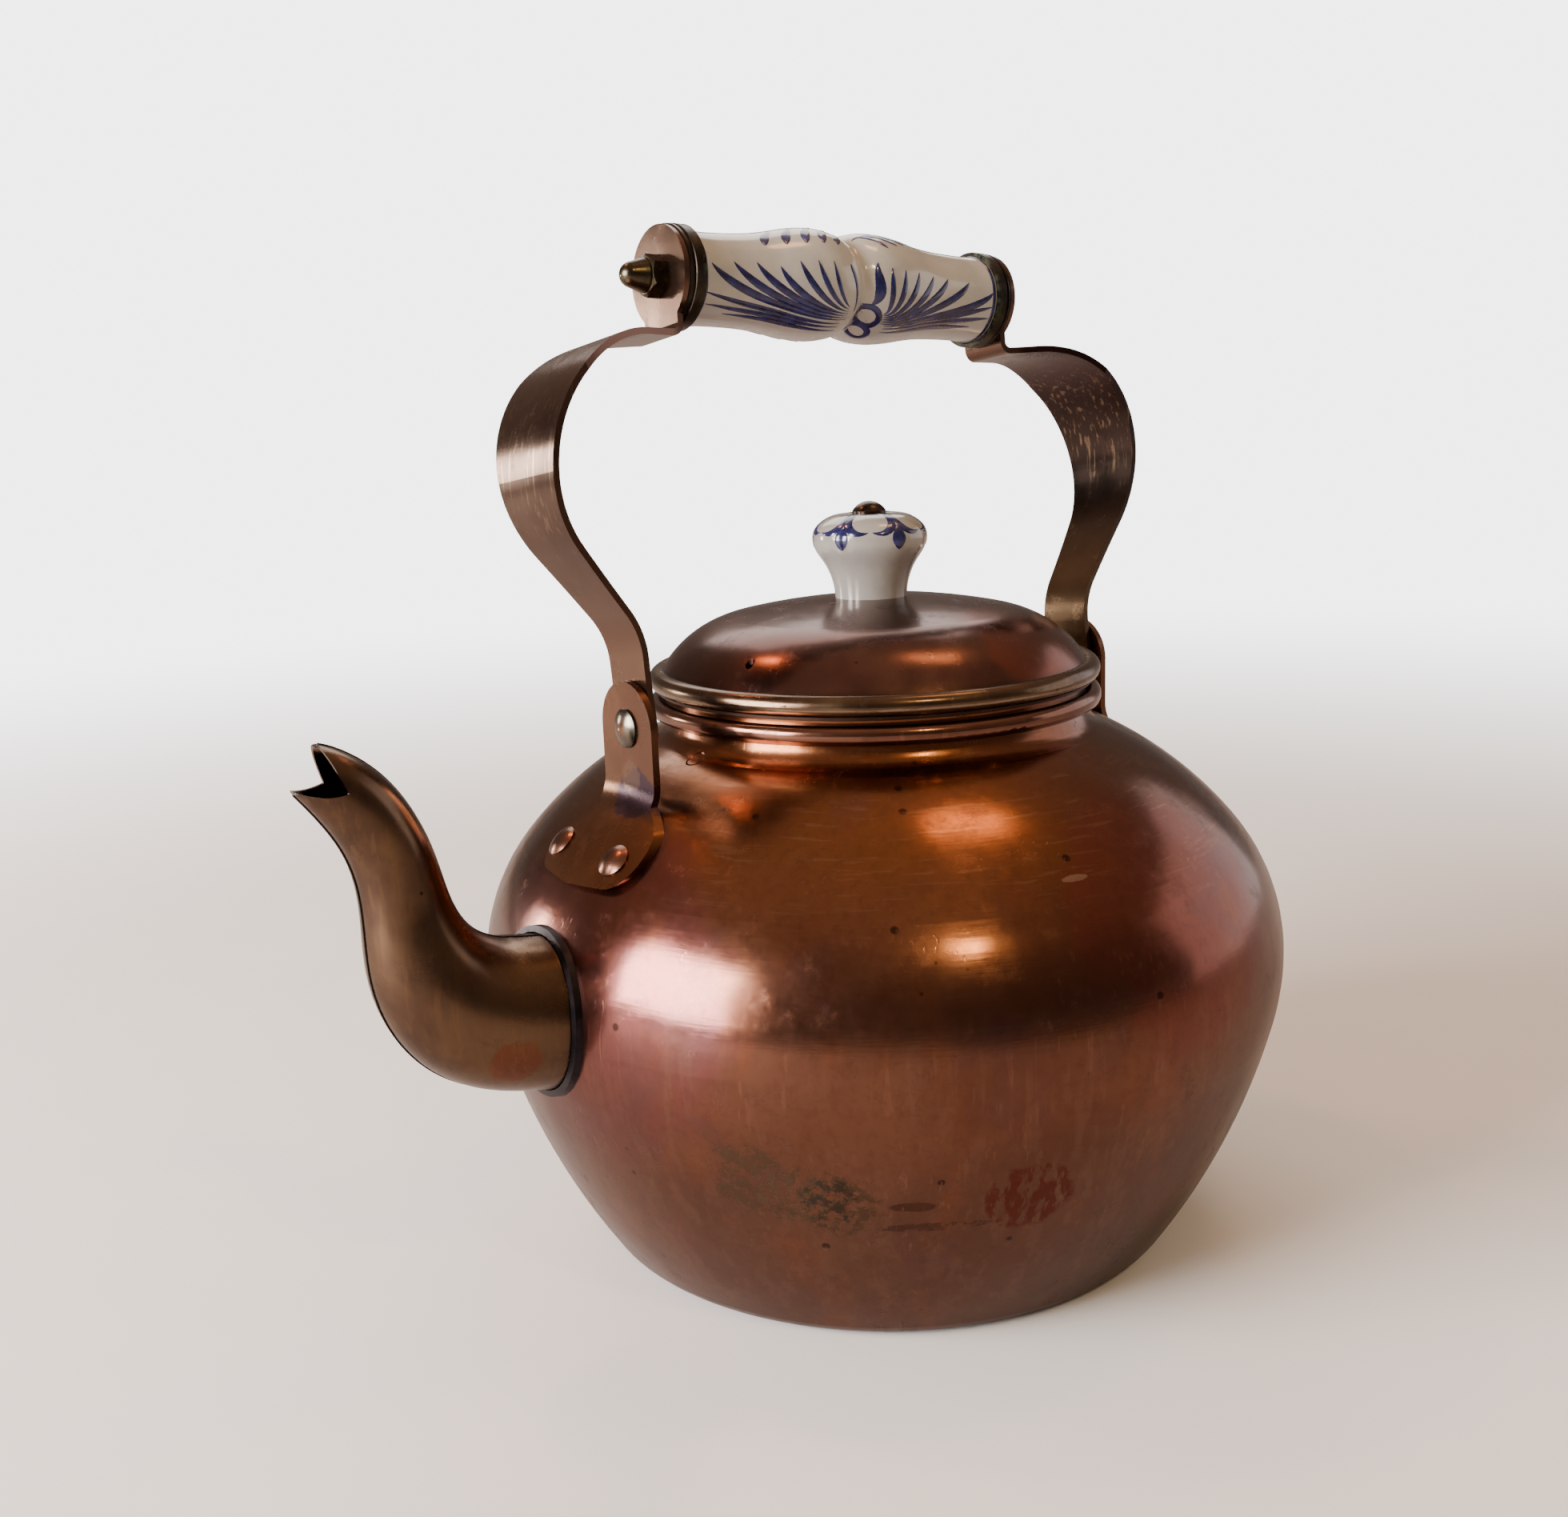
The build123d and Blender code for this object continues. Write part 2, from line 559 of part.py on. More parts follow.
def main():
    """Write one STEP file for each piece."""
    os.makedirs("parts", exist_ok=True)
    bore = spout_solid(-SPOUT_WALL, OVER)
    front = Rotation(0, 0, 180)
    rear = Pos(0, 0, 0)
    lid = lid_dome()
    bead = lid_bead(lid)
    washer, nut = knob_fixings()
    parts = {
        "body_shell": body_shell(bore),
        "neck_ring": neck_ring(),
        "spout_left_half": spout_half(bore, -1),
        "spout_right_half": spout_half(bore, 1),
        "spout_seam_solder": spout_seam(bore),
        "spout_root_solder": spout_root_bead(),
        "lid_dome": lid,
        "lid_rim_bead": bead,
        "lid_collar": lid_collar(bead),
        "porcelain_knob": knob(),
        "knob_screw": knob_screw(),
        "knob_washer": washer,
        "knob_nut": nut,
    }
    one_ear = ear()
    rivets = foot_rivets()
    burrs = foot_burrs()
    for name, turn in (("front", front), ("rear", rear)):
        parts[name + "_ear"] = turn * one_ear
        parts[name + "_ear_rivets"] = Compound([turn * rivet for rivet in rivets])
        parts[name + "_ear_burrs"] = Compound([turn * burr for burr in burrs])
        parts[name + "_pivot_rivet"] = turn * pivot_rivet()
        parts[name + "_pivot_washer"] = turn * pivot_washer()
    parts.update(handle_parts())
    for name, shape in parts.items():
        export_step(shape, "parts/" + name + ".step")


main()
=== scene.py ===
import math
import bpy
from mathutils import Matrix, Vector
from mathutils.bvhtree import BVHTree


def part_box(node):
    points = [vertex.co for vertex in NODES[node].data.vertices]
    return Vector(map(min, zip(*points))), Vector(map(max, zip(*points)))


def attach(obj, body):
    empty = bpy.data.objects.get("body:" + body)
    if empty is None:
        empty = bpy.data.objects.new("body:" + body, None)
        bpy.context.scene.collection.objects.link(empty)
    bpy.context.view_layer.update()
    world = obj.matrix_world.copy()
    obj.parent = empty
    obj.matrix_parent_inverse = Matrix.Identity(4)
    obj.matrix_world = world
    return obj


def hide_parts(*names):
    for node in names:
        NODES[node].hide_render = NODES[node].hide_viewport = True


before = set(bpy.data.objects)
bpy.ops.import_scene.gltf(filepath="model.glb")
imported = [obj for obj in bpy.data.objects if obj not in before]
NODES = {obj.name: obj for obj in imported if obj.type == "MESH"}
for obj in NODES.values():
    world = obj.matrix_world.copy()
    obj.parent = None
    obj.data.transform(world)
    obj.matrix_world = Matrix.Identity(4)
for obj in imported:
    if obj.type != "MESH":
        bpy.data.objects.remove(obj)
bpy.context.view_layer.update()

# Looks for the copper kettle, in the CAD frame: base centre at the origin, +Z up, spout to -X.
# The helpers take lengths in mm and multiply them by MM; what Blender holds is in metres.

MM = 0.001


# ---- camera ----

CAMERA_AT = (-272.3, -338.7, 216.7)
CAMERA_RIGHT = (0.80793, -0.58814, -0.03652)
CAMERA_UP = (0.15161, 0.14757, 0.97736)
CAMERA_LENS = 38.44         # focal length for a sensor of SENSOR_WIDTH
SENSOR_WIDTH = 36.0


def add_camera():
    """Camera on the spout's side, level with the handle's arms and looking a little down."""
    right, up = Vector(CAMERA_RIGHT), Vector(CAMERA_UP)
    data = bpy.data.cameras.new("camera")
    data.sensor_width = SENSOR_WIDTH
    data.lens = CAMERA_LENS
    data.clip_start = 0.01
    camera = bpy.data.objects.new("camera", data)
    bpy.context.scene.collection.objects.link(camera)
    turn = Matrix((right, up, right.cross(up))).transposed().to_4x4()
    camera.matrix_world = Matrix.Translation(Vector(CAMERA_AT) * MM) @ turn
    bpy.context.scene.camera = camera


# ---- node helpers ----

AGED = 0.44                 # share of its fresh brightness that the old metal keeps
SOFT_EDGE = 0.8             # a patch starts to fade at this share of its radius


def aged(colour):
    return tuple(value * AGED for value in colour)


class Look:
    """One procedural material; the methods add a node and return the socket it gives."""

    def __init__(self, name, **sockets):
        self.material = bpy.data.materials.new(name)
        self.material.use_nodes = True
        self.tree = self.material.node_tree
        self.shader = self.tree.nodes["Principled BSDF"]
        for socket, value in sockets.items():
            self.shader.inputs[socket.replace("_", " ")].default_value = value
        place = self.tree.nodes.new("ShaderNodeTexCoord")
        scale = self.tree.nodes.new("ShaderNodeVectorMath")
        scale.operation = "SCALE"
        scale.inputs["Scale"].default_value = 1 / MM
        self.tree.links.new(place.outputs["Object"], scale.inputs[0])
        self.place = scale.outputs[0]
        split = self.tree.nodes.new("ShaderNodeSeparateXYZ")
        self.tree.links.new(self.place, split.inputs[0])
        self.x, self.y, self.z = split.outputs

    def put(self, socket, value):
        """Links a socket, or sets a plain value."""
        if isinstance(value, bpy.types.NodeSocket):
            self.tree.links.new(value, socket)
        else:
            socket.default_value = value

    def calc(self, operation, a, b=0.0, c=0.0):
        node = self.tree.nodes.new("ShaderNodeMath")
        node.operation = operation
        for socket, value in zip(node.inputs, (a, b, c)):
            self.put(socket, value)
        return node.outputs[0]

    def times(self, a, b):
        return self.calc("MULTIPLY", a, b)

    def moved(self, shift=(0, 0, 0), stretch=(1, 1, 1), turn=(0, 0, 0)):
        """The mm coordinates stretched, then turned (degrees), then shifted."""
        node = self.tree.nodes.new("ShaderNodeMapping")
        self.put(node.inputs["Vector"], self.place)
        node.inputs["Location"].default_value = shift
        node.inputs["Rotation"].default_value = [math.radians(angle) for angle in turn]
        node.inputs["Scale"].default_value = stretch
        return node.outputs[0]

    def noise(self, size, detail=3.0, rough=0.55, place=None, distortion=0.0):
        """Noise whose blotches are about size mm."""
        node = self.tree.nodes.new("ShaderNodeTexNoise")
        self.put(node.inputs["Vector"], self.place if place is None else place)
        node.inputs["Scale"].default_value = 1.0 / size
        node.inputs["Detail"].default_value = detail
        node.inputs["Roughness"].default_value = rough
        node.inputs["Distortion"].default_value = distortion
        return node.outputs["Fac"]

    def cells(self, size, place=None):
        """Distance to the nearest of points about size mm apart."""
        node = self.tree.nodes.new("ShaderNodeTexVoronoi")
        self.put(node.inputs["Vector"], self.place if place is None else place)
        node.inputs["Scale"].default_value = 1.0 / size
        return node.outputs["Distance"]

    def length(self, vector):
        node = self.tree.nodes.new("ShaderNodeVectorMath")
        node.operation = "LENGTH"
        self.put(node.inputs[0], vector)
        return node.outputs["Value"]

    def step(self, value, low, high):
        """0 below low, 1 above high, smooth between; low above high turns it round."""
        node = self.tree.nodes.new("ShaderNodeMapRange")
        node.interpolation_type = "SMOOTHSTEP"
        self.put(node.inputs["Value"], value)
        flip = low > high
        node.inputs["From Min"].default_value = min(low, high)
        node.inputs["From Max"].default_value = max(low, high)
        node.inputs["To Min"].default_value = 1.0 if flip else 0.0
        node.inputs["To Max"].default_value = 0.0 if flip else 1.0
        return node.outputs["Result"]

    def between(self, value, low, high, soft):
        """1 between low and high, falling to 0 over soft outside them."""
        return self.times(self.step(value, low - soft, low), self.step(value, high + soft, high))

    def mix(self, factor, a, b):
        """Colour a where the factor is 0, colour b where it is 1."""
        node = self.tree.nodes.new("ShaderNodeMix")
        node.data_type = "RGBA"
        self.put(node.inputs["Factor"], factor)
        self.put(node.inputs[6], a if isinstance(a, bpy.types.NodeSocket) else (*a, 1.0))
        self.put(node.inputs[7], b if isinstance(b, bpy.types.NodeSocket) else (*b, 1.0))
        return node.outputs[2]

    def lay(self, colour, mask, share, paint):
        """The colour with a share of the paint laid over it where the mask is 1."""
        return self.mix(self.times(mask, share), colour, paint)

    def near(self, point, radius, ragged, size=6.0, flat=(1, 1, 1)):
        """1 inside a ball round a point, 0 outside; noise frays its edge and flat squeezes it."""
        squeezed = self.tree.nodes.new("ShaderNodeVectorMath")
        squeezed.operation = "MULTIPLY"
        self.put(squeezed.inputs[0], self.moved([-value for value in point]))
        squeezed.inputs[1].default_value = flat
        wobble = self.calc("MULTIPLY_ADD", self.noise(size, 5.0, 0.7), 2 * ragged, -ragged)
        distance = self.calc("ADD", self.length(squeezed.outputs[0]), wobble)
        return self.step(distance, radius, radius * SOFT_EDGE)

    def bump(self, *layers):
        """Stacks (height, depth in mm) layers into the shader's normal."""
        normal = None
        for height, depth in layers:
            node = self.tree.nodes.new("ShaderNodeBump")
            node.inputs["Strength"].default_value = 1.0
            node.inputs["Distance"].default_value = depth * MM
            self.put(node.inputs["Height"], height)
            if normal is not None:
                self.put(node.inputs["Normal"], normal)
            normal = node.outputs["Normal"]
        self.put(self.shader.inputs["Normal"], normal)

    def finish(self, colour, roughness):
        self.put(self.shader.inputs["Base Color"], colour)
        self.put(self.shader.inputs["Roughness"], roughness)
        return self.material


def scratches(look, size, stretch, threshold, turn=(0, 0, 0)):
    """Thin scattered scratches, long along the axis that stretch makes small."""
    lines = look.noise(size, 2.0, 0.5, look.moved(stretch=stretch, turn=turn))
    return look.step(lines, threshold, threshold + 0.03)


# ---- metals: colours are given as on fresh metal, then aged; places and sizes are in mm ----

def old_copper(name, pale, deep, stain, rough=0.27, seed=0.0, blotch=38.0):
    """Aged satin copper or bronze: cloudy colour, small stains, handling scratches."""
    look = Look(name, Metallic=1.0)
    pale, deep, stain = aged(pale), aged(deep), aged(stain)
    shifted = look.moved((seed, seed * 0.7, -seed))
    cloud = look.noise(blotch, 4.0, 0.6, shifted, 0.4)
    colour = look.mix(look.step(cloud, 0.35, 0.68), deep, pale)
    tarnish = look.step(look.noise(9.0, 6.0, 0.7, shifted), 0.52, 0.74)
    colour = look.lay(colour, tarnish, 0.55, stain)
    specks = look.step(look.cells(5.0, shifted), 0.12, 0.05)
    gate = look.step(look.noise(14.0, 2.0, 0.5, shifted), 0.56, 0.66)
    colour = look.lay(colour, specks, gate, [value * 0.3 for value in stain])
    fine = scratches(look, 3.0, (1.0, 1.0, 0.12), 0.66, (20, 35, 0))
    colour = look.lay(colour, fine, 0.25, [min(1, value * 1.5) for value in pale])
    roughness = look.calc("MULTIPLY_ADD", cloud, 0.16, rough - 0.08)
    roughness = look.calc("MULTIPLY_ADD", tarnish, 0.12, roughness)
    dents, grain = look.noise(26.0, 2.0, 0.5, shifted), look.noise(1.2, 3.0)
    look.bump((dents, 0.35), (grain, 0.008), (fine, 0.006))
    return look, colour, roughness


def simple_metal(name, pale, deep, stain, **options):
    """Old metal with no marks of its own."""
    look, colour, roughness = old_copper(name, pale, deep, stain, **options)
    return look.finish(colour, roughness)


# near black: dark flux and painted shade round each ear's foot, where the foot stands off the body
FLUX_AND_SHADE = (0.035, 0.032, 0.036)
FLAKES = [                  # centre and radius of each flaking brown patch on the belly
    ((-84, -56, 51), 10.5), ((-77, -63, 47), 9.0), ((-70, -69, 45), 10.5),
]


def body_tints(look, colour, height):
    """Broad tints of the body: what the heat and the polishing left."""
    shoulder = look.times(look.step(height, 92.0, 128.0), look.step(look.x, 30.0, -30.0))
    colour = look.lay(colour, shoulder, 0.75, aged((0.52, 0.19, 0.065)))
    root = look.near((-104.0, -14.0, 84.0), 48.0, 14.0, 22.0)
    colour = look.lay(colour, root, 0.6, aged((0.40, 0.13, 0.14)))
    rosy = look.near((10.0, -100.0, 104.0), 36.0, 14.0, 24.0)
    colour = look.lay(colour, rosy, 0.55, aged((0.46, 0.12, 0.09)))
    lower = look.step(height, 66.0, 40.0)
    colour = look.lay(colour, lower, 0.5, aged((0.31, 0.165, 0.12)))
    haze = look.noise(19.0, 5.0, 0.65, look.moved((7, -12, 4), (1.0, 1.0, 0.45)))
    colour = look.lay(colour, look.step(haze, 0.50, 0.68), 0.5, aged((0.52, 0.19, 0.10)))
    bloom = look.noise(27.0, 4.0, 0.6, look.moved((-31, 18, 9)))
    colour = look.lay(colour, look.step(bloom, 0.54, 0.70), 0.45, aged((0.31, 0.15, 0.145)))
    strokes = look.noise(5.0, 4.0, 0.65, look.moved(stretch=(1.0, 1.0, 0.12), turn=(0, 14, 0)))
    strokes = look.times(look.step(strokes, 0.50, 0.62), look.step(height, 96.0, 70.0))
    return look.lay(colour, strokes, 0.28, aged((0.50, 0.26, 0.18)))


def body_marks(look, colour, roughness):
    """Marks at their places on the body: dark flux and painted shade round the ears' feet, flaking
    patches, a brushed patch, scars.
    """
    # painted shade with flux: a near-black ring on the body round each ear's foot
    for side in (-1, 1):
        foot_flux_and_shade = look.near((side * 82.0, side * 1.5, 116.0), 21.5, 2.0, 5.0, (0.75, 1.0, 2.1))
        colour = look.lay(colour, foot_flux_and_shade, 0.8, FLUX_AND_SHADE)
    flaky = look.noise(3.2, 6.0, 0.75)
    for point, radius in FLAKES:
        patch = look.near(point, radius, 6.0, 7.0, (1.0, 1.0, 1.1))
        patch = look.times(patch, look.step(flaky, 0.44, 0.52))
        colour = look.lay(colour, patch, 0.9, aged((0.19, 0.115, 0.07)))
        roughness = look.calc("MULTIPLY_ADD", patch, 0.3, roughness)
    dark = look.times(look.near((-71, -69, 46), 7.5, 5.0, 5.0), look.step(flaky, 0.5, 0.56))
    colour = look.lay(colour, dark, 0.9, aged((0.10, 0.072, 0.054)))
    brush = look.noise(2.2, 3.0, 0.6, look.moved(stretch=(1.0, 1.0, 0.14)))
    rubbed = look.near((-34, -93, 44), 11.5, 3.5, 5.0, (1.0, 1.0, 1.15))
    rubbed = look.times(rubbed, look.step(brush, 0.40, 0.55))
    colour = look.mix(rubbed, colour, aged((0.27, 0.065, 0.04)))
    roughness = look.calc("MULTIPLY_ADD", rubbed, 0.2, roughness)
    streak = look.near((-57, -80, 44.5), 6.0, 2.0, 4.0, (1.0, 1.0, 4.0))
    colour = look.lay(colour, streak, 0.8, aged((0.17, 0.075, 0.05)))
    line = look.near((-52, -81, 38.5), 15.0, 1.5, 8.0, (1.0, 1.0, 11.0))
    line = look.times(line, look.step(look.noise(4.0, 5.0, 0.7), 0.45, 0.55))
    colour = look.lay(colour, line, 0.7, aged((0.15, 0.07, 0.05)))
    gouge = look.near((-15, -87.6, 112), 3.6, 1.6, 1.6, (1.0, 1.0, 5.5))
    return look.lay(colour, gouge, 0.8, aged((0.85, 0.55, 0.38))), roughness


def body_copper():
    """Spun body: orange on the shoulder, purple by the spout, reddish and brushed below."""
    look, colour, roughness = old_copper(
        "body_copper", (0.45, 0.205, 0.13), (0.33, 0.14, 0.09), (0.24, 0.11, 0.08),
        rough=0.20, seed=3.0, blotch=46.0,
    )
    drift = look.calc("MULTIPLY_ADD", look.noise(30.0, 4.0, 0.6), 24.0, -12.0)
    height = look.calc("ADD", look.z, drift)
    colour = body_tints(look, colour, height)
    colour, roughness = body_marks(look, colour, roughness)
    speckle = look.step(look.noise(2.6, 5.0, 0.75), 0.47, 0.62)
    colour = look.lay(colour, speckle, 0.25, aged((0.27, 0.11, 0.07)))
    pits = look.step(look.cells(16.0), 0.075, 0.045)
    colour = look.lay(colour, pits, 0.8, aged((0.06, 0.03, 0.025)))
    turned = look.noise(0.9, 3.0, 0.6, look.moved(stretch=(0.06, 0.06, 1.0)))
    arcs = look.times(look.step(turned, 0.56, 0.66), look.step(height, 100.0, 118.0))
    colour = look.lay(colour, arcs, 0.40, aged((0.66, 0.34, 0.20)))
    smoother = look.calc("SUBTRACT", roughness, 0.07)
    roughness = look.calc("MULTIPLY_ADD", look.noise(5.0, 5.0, 0.7), 0.14, smoother)
    rubs = look.noise(1.1, 2.0, 0.5, look.moved(stretch=(1.0, 1.0, 0.05), turn=(0, 24, 0)))
    worn = look.times(look.step(rubs, 0.60, 0.70), look.step(look.noise(24.0), 0.5, 0.65))
    colour = look.lay(colour, worn, 0.35, aged((0.62, 0.33, 0.23)))
    waves, dent = look.noise(34.0, 2.0, 0.5), look.near((-59, -4, 133), 2.6, 0.3)
    look.bump((waves, 0.55), (turned, 0.016), (worn, -0.012), (dent, -0.35))
    return look.finish(colour, roughness)


def spout_bronze():
    """Olive-brown pressed spout with a reddish worn patch."""
    look, colour, roughness = old_copper(
        "spout_bronze", (0.35, 0.215, 0.13), (0.21, 0.125, 0.09), (0.17, 0.10, 0.06),
        rough=0.24, seed=11.0, blotch=30.0,
    )
    red = look.near((-118, -16, 74), 7.0, 3.0, 6.0)
    colour = look.lay(colour, red, 0.7, aged((0.38, 0.12, 0.07)))
    mouth = look.near((-158, 0, 147), 9.0, 0.5, 3.0)
    mouth = look.times(mouth, look.step(look.z, 136.0, 138.0))
    grain = look.noise(1.6, 3.0, 0.6, look.moved(stretch=(1.0, 1.0, 0.12), turn=(0, 18, 0)))
    colour = look.lay(colour, look.step(grain, 0.45, 0.7), 0.35, aged((0.44, 0.25, 0.13)))
    colour = look.lay(colour, mouth, 0.25, aged((0.16, 0.08, 0.06)))
    return look.finish(colour, roughness)


def lid_copper():
    """Purplish-brown lid, redder on its camera side, with painted shade under its rim."""
    look, colour, roughness = old_copper(
        "lid_copper", (0.33, 0.165, 0.125), (0.22, 0.105, 0.085), (0.17, 0.085, 0.08),
        rough=0.22, seed=21.0, blotch=34.0,
    )
    red = look.near((16, -46, 158), 22.0, 6.0, 12.0)
    colour = look.lay(colour, red, 0.6, aged((0.50, 0.15, 0.09)))
    # painted shade: the dome is laid near black below its rim, in the gap over the neck ring
    rim = look.step(look.z, 151.5, 149.0)
    colour = look.lay(colour, rim, 0.6, aged((0.09, 0.06, 0.045)))
    return look.finish(colour, roughness)


def bead_brass():
    """Rolled rim: olive brass, with a painted highlight along its crest."""
    look, colour, roughness = old_copper(
        "bead_brass", (0.34, 0.225, 0.135), (0.23, 0.14, 0.095), (0.13, 0.09, 0.06),
        rough=0.24, seed=31.0, blotch=22.0,
    )
    # painted highlight: a bright wavering line along the bead's crest
    wobble = look.calc("MULTIPLY_ADD", look.noise(6.0), 0.8, -0.4)
    crest_highlight = look.between(look.calc("ADD", look.z, wobble), 146.2, 146.9, 0.35)
    colour = look.lay(colour, crest_highlight, 0.75, aged((0.74, 0.55, 0.38)))
    return look.finish(colour, roughness)


def ear_copper(name, side):
    """Orange-brown ear with a purple-blue heat stain at its bend."""
    look, colour, roughness = old_copper(
        name, (0.42, 0.205, 0.115), (0.31, 0.145, 0.085), (0.25, 0.10, 0.06),
        rough=0.27, seed=41.0, blotch=24.0,
    )
    foot = look.step(look.z, 126.0, 120.0)
    colour = look.lay(colour, foot, 0.6, aged((0.44, 0.165, 0.06)))
    stain = look.near((side * 76, side * 5, 127), 8.0, 5.0, 7.0, (1.0, 0.8, 1.3))
    colour = look.lay(colour, stain, 0.85, aged((0.10, 0.06, 0.11)))
    cloud = look.near((side * 76, side * 1, 131), 4.0, 3.0, 4.0)
    colour = look.lay(colour, cloud, 0.5, aged((0.42, 0.26, 0.18)))
    return look.finish(colour, roughness)


PIVOT_Z = 142.3


def pivot_metal(name):
    """Silvery-brass rivet head worn to copper in the middle, grey-green round its edge."""
    look, colour, roughness = old_copper(
        name, (0.42, 0.35, 0.27), (0.29, 0.24, 0.18), (0.15, 0.16, 0.12),
        rough=0.25, seed=51.0, blotch=6.0,
    )
    distance = look.length(look.moved((0, 0, -PIVOT_Z), (0, 1, 1)))
    wobble = look.calc("MULTIPLY_ADD", look.noise(2.2), 2.0, -1.0)
    distance = look.calc("ADD", distance, wobble)
    colour = look.lay(colour, look.step(distance, 2.6, 1.2), 0.85, aged((0.46, 0.24, 0.15)))
    colour = look.lay(colour, look.step(distance, 3.7, 4.6), 0.8, aged((0.10, 0.12, 0.10)))
    return look.finish(colour, roughness)


def arm_copper(name, pale, deep, top, low, seed):
    """Strap copper: top and low colour its ends (on the rear arm the top is painted shade), painted
    glints brighten the bulge as a highlight, the disc is paler.
    """
    look, colour, roughness = old_copper(
        name, pale, deep, (0.13, 0.075, 0.058), rough=0.22, seed=seed, blotch=30.0,
    )
    # the top colour darkens the upper end; on the rear arm it is painted shade
    colour = look.lay(colour, look.step(look.z, 205.0, 228.0), 0.7, top)
    colour = look.lay(colour, look.step(look.z, 188.0, 160.0), 0.6, low)
    disc = look.step(look.calc("ABSOLUTE", look.x), 58.0, 54.5)
    colour = look.lay(colour, disc, 0.85, aged((0.36, 0.215, 0.155)))
    # painted highlight: brighter streaks across the bulge of the strap
    grain = look.noise(1.3, 3.0, 0.6, look.moved(stretch=(1.0, 1.0, 0.05)))
    painted_glints = look.times(look.step(grain, 0.55, 0.66), look.between(look.z, 196.0, 216.0, 10.0))
    colour = look.lay(colour, painted_glints, 0.45, aged((0.75, 0.52, 0.33)))
    return look.finish(colour, roughness)


def ferrule_bronze(name, side):
    """Nearly black bronze with verdigris crumbs beside the porcelain."""
    look, colour, roughness = old_copper(
        name, (0.13, 0.105, 0.078), (0.06, 0.05, 0.042), (0.04, 0.045, 0.035),
        rough=0.33, seed=61.0, blotch=9.0,
    )
    inner = look.step(look.times(look.x, side), 47.8, 46.2)
    crumbs = look.times(inner, look.step(look.noise(2.4, 4.0, 0.7), 0.50, 0.60))
    colour = look.lay(colour, crumbs, 0.8, aged((0.16, 0.20, 0.12)))
    roughness = look.calc("MULTIPLY_ADD", crumbs, 0.35, roughness)
    return look.finish(colour, roughness)


# ---- glazes ----

GLAZED = {"Coat_Weight": 0.6, "Coat_Roughness": 0.06}


def glaze(name, base, tint, blue_bleed):
    """Ivory glazed porcelain with iron specks, a bluish bleed and a slightly uneven surface."""
    look = Look(name, Specular_IOR_Level=0.5, **GLAZED)
    cloud = look.noise(14.0, 4.0, 0.6)
    colour = look.mix(look.step(cloud, 0.35, 0.7), base, tint)
    bleed = look.step(look.noise(7.0, 4.0, 0.6, look.moved((9, 4, 2))), 0.60, 0.74)
    colour = look.lay(colour, bleed, blue_bleed, (0.42, 0.46, 0.56))
    specks = look.times(look.step(look.cells(4.4), 0.075, 0.035), look.step(cloud, 0.5, 0.6))
    colour = look.lay(colour, specks, 0.6, (0.20, 0.15, 0.11))
    roughness = look.calc("MULTIPLY_ADD", cloud, 0.12, 0.12)
    look.bump((look.noise(9.0, 2.0), 0.18), (look.noise(1.8, 2.0), 0.012))
    return look.finish(colour, roughness)


def cobalt():
    """Cobalt brushwork: blue-black, cloudy where the paint pooled."""
    look = Look("cobalt_brushwork", **GLAZED)
    pool = look.noise(3.0, 4.0, 0.65)
    colour = look.mix(look.step(pool, 0.35, 0.65), (0.007, 0.008, 0.055), (0.020, 0.026, 0.135))
    look.bump((look.noise(1.8, 2.0), 0.012))
    return look.finish(colour, look.calc("MULTIPLY_ADD", pool, 0.1, 0.14))


# ---- mesh helpers ----

def add_mesh(name, points, faces, material, smooth=True):
    mesh = bpy.data.meshes.new(name)
    mesh.from_pydata([tuple(point) for point in points], [], faces)
    mesh.validate()
    mesh.update()
    for polygon in mesh.polygons:
        polygon.use_smooth = smooth
    piece = bpy.data.objects.new(name, mesh)
    bpy.context.scene.collection.objects.link(piece)
    mesh.materials.append(material)
    return piece


def grid_faces(rows, columns, closed):
    """Quads between rows of points; closed joins the last column to the first."""
    faces = []
    for row in range(rows - 1):
        for column in range(columns if closed else columns - 1):
            after = (column + 1) % columns
            faces.append((row * columns + column, row * columns + after,
                          (row + 1) * columns + after, (row + 1) * columns + column))
    return faces


def bezier(points, share):
    """Point at a share of the way along a Bezier curve with any number of control points."""
    points = [Vector(point) for point in points]
    while len(points) > 1:
        points = [first.lerp(last, share) for first, last in zip(points, points[1:])]
    return points[0]


# ---- porcelain grip ----

GRIP_STEPS = 120
GRIP_ROUND = 72
GRIP_RADII = [              # distance from the pinch, radius, mm
    (0.0, 12.6), (4.0, 13.8), (9.0, 14.45), (15.0, 14.0), (27.0, 11.9), (40.0, 11.1), (48.2, 11.4),
]
GRIP_FLAT = 1.3             # the underside of the swells is this much shallower than the top, mm
GRIP_BORE = 3.4             # radius of the hole for the rod
GRIP_LAND = 10.6            # radius where an end face meets the rounded edge
GRIP_EDGE = 0.35            # how far that edge is drawn in
TILT_EXTRA = 0.62           # what the tilted ends add to half the length of the grip's box
CREASE_DEPTH = 0.8
CREASE_WIDTH = 1.6
BOW_SIDE = 1.6              # the pinch runs aslant: its shift along the grip at the camera side,
BOW_TOP = 0.8               # at the top, and how far from the pinch the shift reaches
BOW_REACH = 14.0


def centre_of(node):
    low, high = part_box(node)
    return (low + high) / 2


